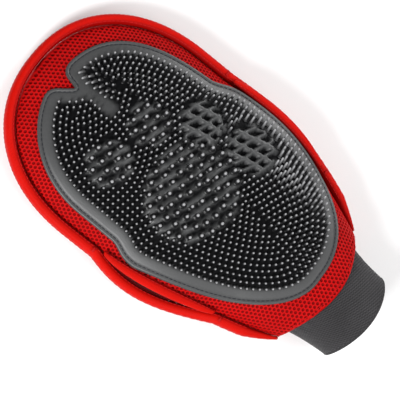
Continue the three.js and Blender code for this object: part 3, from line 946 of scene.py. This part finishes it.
def ridgeHeight(points):
    # slanting waves run across the islands and join the pins' feet
    v = padLook
    slant = math.radians(v["ridgeSlant"])
    along = points[:, 0] * math.cos(slant) + points[:, 1] * math.sin(slant)
    across = points[:, 1] * math.cos(slant) - points[:, 0] * math.sin(slant)
    wave = np.sin(across / v["ridgePitch"] * 2 * math.pi + 0.9 * np.sin(along / 11.0))
    return v["ridgeHeight"] * (0.5 + 0.5 * wave)


def padHeight(points, inset):
    return np.interp(inset, padLook["rimInsets"], padLook["rimHeights"]) + moundHeight(points)


def triangulateInside(points, loopCount):
    edges = [(i, (i + 1) % loopCount) for i in range(loopCount)]
    result = geometry.delaunay_2d_cdt([Vector(p) for p in points], edges, [], 1, 1e-5)
    return np.array([tuple(v) for v in result[0]]), [tuple(f) for f in result[2]]


def makePad():
    v = padLook
    inward = loopInward(outlineLoop, 1)
    flat = [outlineLoop]
    for inset in v["rings"]:
        ring = outlineLoop + inward * inset
        flat.append(ring[distanceInside(ring, outlineLoop) > inset * 0.985])
    spread = latticePoints(v["fieldSpacing"], lambda g: (distanceInside(g, outlineLoop) > v["fieldStart"])
                           & (islandLevel(g, 2.0) > 1))
    island = latticePoints(v["islandSpacing"], lambda g: (distanceInside(g, outlineLoop) > v["fieldStart"])
                           & (islandLevel(g, 1.4) < 1))
    places, faces = triangulateInside(np.concatenate(flat + [spread, island]), len(outlineLoop))
    inset = np.maximum(distanceInside(places, outlineLoop), 0)
    top = palmPoint(places[:, 0], places[:, 1], v["base"])
    top += palmNormal(places[:, 0], places[:, 1]) * padHeight(places, inset)[:, None]
    bottom = palmPoint(places[:, 0], places[:, 1], v["underside"])
    faces = [f if faceUp(places, f) else f[::-1] for f in faces]
    loopCount = len(outlineLoop)
    rim = [(i, (i + 1) % loopCount) for i in range(loopCount)]
    faces = shellFaces(faces, rim, len(places))
    pad = makeObject("pinPad", np.concatenate([top, bottom]), faces, padRubber)
    # painted shade mask: none on the border, nearly full among the pins, less on the mounds and in the notch
    # strip
    field = np.interp(inset, [7.5, 10.5], [0, 0.97])
    raised = fade(moundHeight(places), 0.4, 1.3)
    field *= (1 - 0.95 * raised) * (1 - 0.9 * notchValley(places))
    addAttribute(pad, "pinFieldShade", "FLOAT", np.concatenate([field, field]))
    return pad


def faceUp(places, face):
    a, b, c = (places[i] for i in face[:3])
    return (b[0] - a[0]) * (c[1] - a[1]) - (b[1] - a[1]) * (c[0] - a[0]) > 0


def pinAxes(places):
    v = pinPush
    normal = palmNormal(places[:, 0], places[:, 1])
    lean = np.zeros_like(normal)
    x, y = places[:, 0], places[:, 1]
    notchSide = fade(y, *v["notchY"]) * fade(x, *v["notchX"]) * (x > v["rightOf"])
    tipSide = fade(y, *v["tipY"]) * (x > v["rightOf"])
    palmRight = fade(x, *v["palmX"]) * fade(y, *v["palmY"])
    lean[:, 0] += v["notch"] * notchSide + v["tip"][0] * tipSide + v["palm"][0] * palmRight
    lean[:, 0] += fade(x, *v["sideX"]) * v["side"]
    lean[:, 1] += v["tip"][1] * tipSide + v["palm"][1] * palmRight
    lean[:, 1] -= fade(y, *v["heelY"]) * v["heel"]
    # painted highlight: the more a pin leans, the lighter its stem is painted
    light = np.linalg.norm(lean, axis=1) * v["lightGain"] - v["lightFrom"]
    return unit(normal + lean), np.clip(light, 0, v["lightMost"])


def makePins(name, places):
    v = pinSizes[name]
    x, y = places[:, 0], places[:, 1]
    above = padHeight(places, np.full(len(places), 12.0)) - v["sink"]
    axes, lean = pinAxes(places)
    pins = makeObject(name, palmPoint(x, y, padLook["base"]) + palmNormal(x, y) * above[:, None], [])
    addAttribute(pins, "pinAxis", "FLOAT_VECTOR", axes)
    # the value stored here is the painted highlight on the stems, not a lean
    addAttribute(pins, "pinStemHighlight", "FLOAT", lean)
    return applyTree(pins, pinTree, pinInputs, {
        "Length": (v["length"] + v["sink"]) * 0.001, "Radius": v["radius"] * 0.001, "Material": pinRubber})


def makePadPieces():
    pad = makePad()
    small = makePins("smallPins", smallPlaces)
    large = makePins("largePins", largePlaces)
    for piece in (pad, small, large):
        dress(piece, "rubber_pin_pad")
    inset = padLook["stitchInset"]
    path = outlineLoop + loopInward(outlineLoop, 3) * inset
    path = resampleLoop(path[distanceInside(path, outlineLoop) > inset * 0.93], 1.2)
    normal = palmNormal(path[:, 0], path[:, 1])
    points = palmPoint(path[:, 0], path[:, 1], padLook["base"]) + normal * 1.25
    stitches = stitchRow("padStitches", points, normal, darkThread, "pad", closed=True)
    dress(stitches, "pad_stitching")


makePadPieces()
print("stage: pin pad")


# Air mesh of the palm
airMesh = {"acrossPitch": 2.9, "alongPitch": 2.3, "thickness": 1.5, "underPad": 7.0, "tipGap": 0.3,
           "arcSteps": 160, "holeShare": 0.72, "holeDepth": 0.0007, "yarnRise": 0.00022}


def arcTables(rows, inset):
    steps = airMesh["arcSteps"]
    across = np.sin(np.linspace(-0.5, 0.5, steps + 1) * math.pi)
    lengths = []
    for y in rows:
        line = sidePoint(palmSide, across, np.full(steps + 1, y), inset)
        length = np.concatenate([[0], np.cumsum(np.linalg.norm(np.diff(line[:, [0, 2]], axis=0), axis=1))])
        lengths.append(length - length[steps // 2])
    return across, np.array(lengths)


def palmFlatOutline():
    # the panel laid flat: distance along the surface from the middle line, and height up the hand
    tip = mittForm["fingertip"] - mittForm["binding"] - airMesh["tipGap"]
    edgeAcross = np.linspace(1, -1, 70)
    heel = np.stack([edgeAcross, heelEdge(edgeAcross)], 1)
    start = heelEdge(1.0)
    climb = start + (tip - start) * np.sin(np.linspace(0, 0.5, 200) * math.pi)
    left = np.stack([np.full(200, -1.0), climb], 1)
    right = np.stack([np.full(200, 1.0), climb[::-1]], 1)
    return np.concatenate([heel[:-1], left[:-1], right[:-1]])


def makePalmMesh():
    v = airMesh
    tip = mittForm["fingertip"] - mittForm["binding"] - airMesh["tipGap"]
    rows = np.arange(mittForm["heel"] - 1, tip + 1, 1.0)
    across, lengths = arcTables(np.minimum(rows, tip), 0.0)

    def rowAt(y):
        r = np.clip(y - rows[0], 0, len(rows) - 1.001)
        low = r.astype(int)
        return low, r - low

    def lengthAt(s, y):
        low, part = rowAt(y)
        a = np.array([np.interp(si, across, lengths[i]) for si, i in zip(s, low)])
        b = np.array([np.interp(si, across, lengths[i + 1]) for si, i in zip(s, low)])
        return a * (1 - part) + b * part

    def acrossAt(u, y):
        low, part = rowAt(y)
        line = lengths[low] * (1 - part[:, None]) + lengths[low + 1] * part[:, None]
        return np.array([np.interp(ui, row, across) for ui, row in zip(u, line)])

    edge = palmFlatOutline()
    laidFlat = np.stack([lengthAt(edge[:, 0], edge[:, 1]), edge[:, 1]], 1)
    flatEdge = resampleLoop(laidFlat, v["acrossPitch"] * 0.8)
    columns = int(110 / v["acrossPitch"])
    grid = np.array([((c + (r % 2) / 2) * v["acrossPitch"], r * v["alongPitch"] + mittForm["heel"])
                     for r in range(int(245 / v["alongPitch"])) for c in range(-columns, columns + 1)])
    grid = grid[distanceInside(grid, flatEdge) > v["alongPitch"] * 0.45]
    places, triangles = triangulateInside(np.concatenate([flatEdge, grid]), len(flatEdge))
    s = acrossAt(places[:, 0], places[:, 1])
    outer = sidePoint(palmSide, s, places[:, 1], 0.0)
    inner = sidePoint(palmSide, s, places[:, 1], v["thickness"])
    buried = distanceInside(outer[:, :2].copy(), outlineLoop) > v["underPad"]
    triangles = [f if faceUp(places, f) else f[::-1] for f in triangles]
    triangles = [f for f in triangles if not buried[list(f)].all()]
    count = len(places)
    faces = shellFaces(triangles, openEdges(triangles), count)
    panel = makeObject("palmMesh", np.concatenate([outer, inner]), faces)
    onEdge = np.abs(distanceInside(places, flatEdge)) < 0.3
    addAttribute(panel, "outer", "FLOAT", np.concatenate([np.where(onEdge, 0.0, 1.0), np.zeros(count)]))
    applyTree(panel, meshTree, meshInputs, {
        "Hole Share": v["holeShare"], "Hole Depth": v["holeDepth"], "Yarn Rise": v["yarnRise"],
        "Material": meshYarn})
    dress(panel, "palm_mesh_panel")
    print("palm mesh faces:", len(panel.data.polygons))


makePalmMesh()
print("stage: palm mesh")


# Swept tapes: a closed section carried along a path
tapeGirth = 24


def sweepSection(name, centres, outward, upward, sections, material, closed=False):
    steps, sides = len(centres), sections.shape[-2]
    sections = np.broadcast_to(sections, (steps, sides, 2))
    rings = centres[:, None, :] + outward[:, None, :] * sections[..., :1]
    rings = rings + upward[:, None, :] * sections[..., 1:]
    faces = gridFaces(steps, sides, closed, True)
    if not closed:
        faces.append(tuple(range(sides))[::-1])
        faces.append(tuple((steps - 1) * sides + k for k in range(sides)))
    along = np.concatenate([[0], np.cumsum(np.linalg.norm(np.diff(centres, axis=0), axis=1))])
    around = np.linspace(0, tapeGirth, sides)
    uvs = np.stack([np.repeat(along, sides), np.tile(around, steps)], 1)
    piece = makeObject(name, rings.reshape(-1, 3), faces, material, uvs)
    outwardNormals(piece)
    return piece


def rimPath(side, steps):
    t = (np.arange(steps) + 0.5) / steps
    left = t < 0.5
    along = np.sin(np.where(left, t, 1 - t) * math.pi)
    start = heelEdge(1.0)
    reach = mittForm["fingertip"] - mittForm["binding"]
    y = start + (reach - start) * along
    points = sidePoint(side, np.where(left, -1.0, 1.0), y, 0.0)
    tangent = np.gradient(points, axis=0)
    tangent[:, 2] = 0
    tangent = unit(tangent)
    outward = np.stack([-tangent[:, 1], tangent[:, 0], np.zeros(steps)], 1)
    return points, outward, t


edgeTape = {"reach": 3.4, "height": 4.7, "steps": 420, "puckerDepth": 0.036, "puckers": 150, "gap": 0.1,
            "endSize": 0.12, "taperShare": 0.035, "stitchIn": 0.55, "stitchUp": 0.93, "stitchedFrom": 0.03}


def roundedSection(sides, power=2.6):
    angle = np.linspace(0, 2 * math.pi, sides, endpoint=False)
    x, y = np.cos(angle), np.sin(angle)
    return np.stack([np.sign(x) * np.abs(x) ** (2 / power), np.sign(y) * np.abs(y) ** (2 / power)], 1)


tapeShade = {"innerGain": 1.5, "innerFrom": 0.15, "innerMost": 0.75, "underGain": 0.8, "underMost": 0.5,
             "caps": 0.5}


def foldShade(section, steps, count):
    # painted shade: the tape's inner turn is painted darker for the shade of its own ridge, its underside is
    # painted darker too, and the end caps get half
    v = tapeShade
    inner = np.clip(v["innerGain"] * -section[:, 0] - v["innerFrom"], 0, v["innerMost"])
    under = np.clip(v["underGain"] * -section[:, 1], 0, v["underMost"])
    shade = np.tile(np.clip(inner + under, 0, 1), steps)
    return np.concatenate([shade, np.full(count - len(shade), v["caps"])])


facingForm = {"rows": 60, "columns": 9, "overlap": 4, "across": (0.78, 1.0), "insets": (4.7, 5.3)}


def makeSlotFacing(hand):
    # the tape's inner turn, a strip over the lining that shows through the slot
    v = facingForm
    size = v["rows"], v["columns"]
    y = np.linspace(mittForm["slotLow"] - v["overlap"], mittForm["slotHigh"] + v["overlap"], size[0])[:, None]
    across = hand * np.linspace(*v["across"], size[1])[None, :]
    skins = [sidePoint(backSide, np.broadcast_to(across, size), y, inset) for inset in v["insets"]]
    points = np.concatenate([skin.reshape(-1, 3) for skin in skins])
    skin = gridFaces(*size)
    faces = shellFaces(skin, openEdges(skin), size[0] * size[1])
    facing = makeObject("slotFacing", points, faces, wovenTape, points[:, :2])
    outwardNormals(facing)
    return facing


def makeEdgeBinding():
    v = edgeTape
    points, outward, t = rimPath(backSide, v["steps"])
    taper = np.clip(v["endSize"] + np.minimum(t, 1 - t) / v["taperShare"], 0, 1) ** 0.7
    up = np.tile([0.0, 0.0, 1.0], (v["steps"], 1))
    section = roundedSection(28)
    pucker = 1 + v["puckerDepth"] * np.sin(t * 2 * math.pi * v["puckers"])
    sections = section[None] * np.stack([v["reach"] * taper * pucker, v["height"] * taper], 1)[:, None, :]
    centres = points + outward * (v["reach"] * taper[:, None] + v["gap"])
    roll = sweepSection("edgeBinding", centres, outward, up, sections, wovenTape)
    # painted shade across the roll's section
    addAttribute(roll, "tapeFoldShade", "FLOAT", foldShade(section, v["steps"], len(roll.data.vertices)))
    selectOnly([roll, makeSlotFacing(-1.0), makeSlotFacing(1.0)])
    bpy.ops.object.join()
    dress(roll, "edge_binding")
    seat = (t > v["stitchedFrom"]) & (t < 1 - v["stitchedFrom"])
    line = centres - outward * (v["reach"] * v["stitchIn"])
    line = line + up * (v["height"] * taper[:, None] * v["stitchUp"])
    stitches = stitchRow("edgeStitches", line[seat], up[seat], redThread, "edge")
    dress(stitches, "edge_binding_stitching")


makeEdgeBinding()


slotTape = {"reach": 3.2, "height": 1.9, "steps": 90, "gap": 3.0, "endSize": 0.3, "clear": 0.2,
            "stitchIn": 0.6, "stitchUp": 0.95}


def makeSlotLips():
    v = slotTape
    low, high = mittForm["slotLow"] + v["gap"], mittForm["slotHigh"] - v["gap"]
    t = np.linspace(0, 1, v["steps"])
    y = low + (high - low) * t
    for word, hand in (("left", -1.0), ("right", 1.0)):
        rim = sidePoint(palmSide, np.full_like(y, hand), y, 0.0)
        tangent = np.gradient(rim, axis=0)
        tangent[:, 2] = 0
        tangent = unit(tangent)
        outward = np.stack([hand * tangent[:, 1], -hand * tangent[:, 0], np.zeros(len(t))], 1)
        taper = v["endSize"] + (1 - v["endSize"]) * np.sin(math.pi * t) ** 0.5
        shape = slotShape(y)
        lift = (edgeTape["height"] + v["height"] + v["clear"]) * (1 - shape) + v["height"] * shape
        centres = rim + outward * (v["reach"] * taper + v["clear"])[:, None]
        centres[:, 2] += lift
        up = np.tile([0.0, 0.0, 1.0], (len(t), 1))
        section = roundedSection(24)
        sections = section[None] * np.stack([v["reach"] * taper, v["height"] * taper], 1)[:, None, :]
        lip = sweepSection(word + "SlotBinding", centres, outward, up, sections, wovenTape)
        # painted shade across the lip's section
        addAttribute(lip, "tapeFoldShade", "FLOAT", foldShade(section, v["steps"], len(lip.data.vertices)))
        dress(lip, word + "_slot_binding")
        line = centres - outward * (v["reach"] * taper * v["stitchIn"])[:, None]
        line[:, 2] += v["height"] * taper * v["stitchUp"]
        stitches = stitchRow(word + "SlotStitches", line[6:-6], up[6:-6], redThread, "fine")
        dress(stitches, word + "_slot_stitching")
        for level in ("upper", "lower"):
            makeBarTack(word, level)


barTack = {"turns": 11, "width": 1.6, "radius": 0.17, "endMargin": 0.9, "sink": 1.0, "fall": 0.22,
           "arch": 0.25}


def makeBarTack(word, level):
    v = barTack
    low, high = (Vector(c) * 1000 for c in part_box(f"{word}_{level}_bar_tack"))
    middle = (low + high) / 2 + Vector((0, originY, 0))
    half = (high.x - low.x) / 2 - v["endMargin"]
    turns = np.arange(2 * v["turns"] + 1)
    x = middle.x - half + 2 * half * turns / turns[-1]
    y = middle.y + np.where(turns % 2, 0.5, -0.5) * v["width"]
    z = middle.z - v["sink"] - v["fall"] * (x - middle.x) ** 2
    points = np.stack([x, y, z], 1)
    dense = np.concatenate([np.linspace(a, b, 6, endpoint=False) for a, b in zip(points, points[1:])])
    tangent = unit(np.gradient(dense, axis=0))
    sideways = unit(np.cross(tangent, np.tile([0.0, 0.0, 1.0], (len(dense), 1))))
    ups = np.cross(sideways, tangent)
    dense[:, 2] += v["arch"] * np.cos((dense[:, 1] - middle.y) / v["width"] * math.pi)
    section = roundedSection(6, 2.0) * v["radius"]
    tack = sweepSection(f"{word}{level.title()}Tack", dense, sideways, ups, section, redThread)
    dress(tack, f"{word}_{level}_bar_tack")


makeSlotLips()
print("stage: bindings and slots")


heelSeam = {"reach": 0.85, "steps": 80, "fromEdge": 3, "lift": 0.35}


def makeHeelStitches():
    v = heelSeam
    across = np.linspace(-v["reach"], v["reach"], v["steps"])
    for word, side in (("palm", palmSide), ("back", backSide)):
        line = sidePoint(side, across, heelEdge(across) + v["fromEdge"], 0.0)
        line[:, 2] += side["sign"] * v["lift"]
        up = np.tile([0.0, 0.0, float(side["sign"])], (len(across), 1))
        stitches = stitchRow(word + "HeelStitches", line, up, redThread, "fine")
        dress(stitches, word + "_heel_stitching")


makeHeelStitches()


# Elastic cuff
cuffLook = {"topY": -2.0, "topCurve": 5.0, "endY": -33.5, "endCurve": 6.0, "topHalf": (36.0, 17.0),
            "endHalf": (31.5, 20.0), "thickness": 2.2, "waist": 0.7, "columns": 200, "rows": 40, "hem": 1.3,
            "girth": 190, "mapLength": 80, "bendAbove": 6, "bendBelow": 14, "gathers": 23,
            "gatherDepth": 0.35, "gatherFall": 2.2, "hemDrop": 0.6, "seamLift": 0.3, "seamSteps": 60}


def cuffPoint(angle, t, inset):
    v = cuffLook
    waist = v["waist"] * np.sin(math.pi * np.clip(t, 0, 1))
    rx = v["topHalf"][0] + (v["endHalf"][0] - v["topHalf"][0]) * t - inset - waist
    rz = v["topHalf"][1] + (v["endHalf"][1] - v["topHalf"][1]) * t - inset - waist
    start = v["topY"] + v["topCurve"] * np.cos(angle) ** 2
    end = v["endY"] + v["endCurve"] * np.cos(angle) ** 2
    y = start + (end - start) * t
    gather = v["gatherDepth"] * np.sin(angle * v["gathers"] + 2 * np.sin(angle * 3))
    gather = gather * np.clip(1 - t * v["gatherFall"], 0, 1)
    x = (rx + gather) * np.cos(angle)
    z = mittForm["cuffAxisZ"] + (rz + gather) * np.sin(angle)
    return np.stack(np.broadcast_arrays(x, y, z), -1)


def makeCuff():
    v = cuffLook
    angle = np.arange(v["columns"]) / v["columns"] * 2 * math.pi
    outside = [cuffPoint(angle, t, 0.0) for t in np.linspace(0, 1, v["rows"])]
    inside = [cuffPoint(angle, t, v["thickness"]) for t in np.linspace(1, 0, v["rows"])]
    rings = np.array(outside + inside)
    count, sides = len(rings), v["columns"]
    girth = np.tile(np.arange(sides) / sides * v["girth"], count)
    down = np.repeat(np.arange(count) / count * v["mapLength"], sides)
    cuff = makeObject("elasticCuff", rings.reshape(-1, 3), gridFaces(count, sides, True, True), elasticKnit,
                      np.stack([down, girth], 1))
    outwardNormals(cuff)
    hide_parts("elastic_cuff")
    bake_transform(cuff)
    hemRing = cuffPoint(angle, 1.0, v["thickness"] / 2)
    hemRing[:, 1] -= v["hemDrop"]
    outward = unit(np.stack([np.cos(angle), 0 * angle, np.sin(angle)], 1))
    up = np.tile([0.0, 1.0, 0.0], (sides, 1))
    hem = sweepSection("cuffHem", hemRing, outward, up, roundedSection(12) * v["hem"], elasticKnit,
                       closed=True)
    dress(hem, "cuff_end_hem", "cuff")
    t = np.linspace(0.1, 0.92, v["seamSteps"])
    seamPath = cuffPoint(np.full(len(t), -math.pi / 2), t, v["thickness"])
    seamPath[:, 2] += v["seamLift"]
    seam = stitchRow("cuffSeam", seamPath, np.tile([0.0, 0.0, 1.0], (len(t), 1)), darkThread, "cuff")
    dress(seam, "cuff_side_seam", "cuff")


makeCuff()
print("stage: cuff")


# Studio: a pale floor, a soft key from the left and a grazing light from the right
studio = {
    "floorSize": 6.0,
    "worldStrength": 0.30,
    "key": {"place": (-700, 260, 620), "size": 0.35, "power": 9.8},
    "fill": {"place": (60, -300, 900), "size": 0.9, "power": 4.4},
    "graze": {"place": (760, 60, 330), "size": 0.4, "power": 4.2},
}


def makeStudio():
    v = studio
    bpy.ops.mesh.primitive_plane_add(size=v["floorSize"], location=(0, 0, -0.0002))
    floor = bpy.context.object
    floor.name = "floor"
    material, tree, shader = newMaterial("paleFloor", 0.9, 0.1)
    varied = useGroup(tree, shadeVariation, Color=(0.93, 0.93, 0.93), Patch=4.0, Grain=60.0, Amount=0.02)
    tree.links.new(varied.outputs["Color"], shader.inputs["Base Color"])
    floor.data.materials.append(material)
    world = bpy.data.worlds.new("studioWorld")
    scene.world = world
    world.use_nodes = True
    world.node_tree.nodes["Background"].inputs["Color"].default_value = (1, 1, 1, 1)
    world.node_tree.nodes["Background"].inputs["Strength"].default_value = v["worldStrength"]
    aim = Vector(toFrame((0, 100, 25))[0])
    for name in ("key", "fill", "graze"):
        light = bpy.data.lights.new(name, "AREA")
        light.shape = "DISK"
        light.size = v[name]["size"]
        light.energy = v[name]["power"]
        lamp = bpy.data.objects.new(name, light)
        scene.collection.objects.link(lamp)
        lamp.location = Vector(toFrame(v[name]["place"])[0])
        lamp.rotation_euler = (aim - lamp.location).to_track_quat("-Z", "Y").to_euler()


makeStudio()
print("stage: studio")
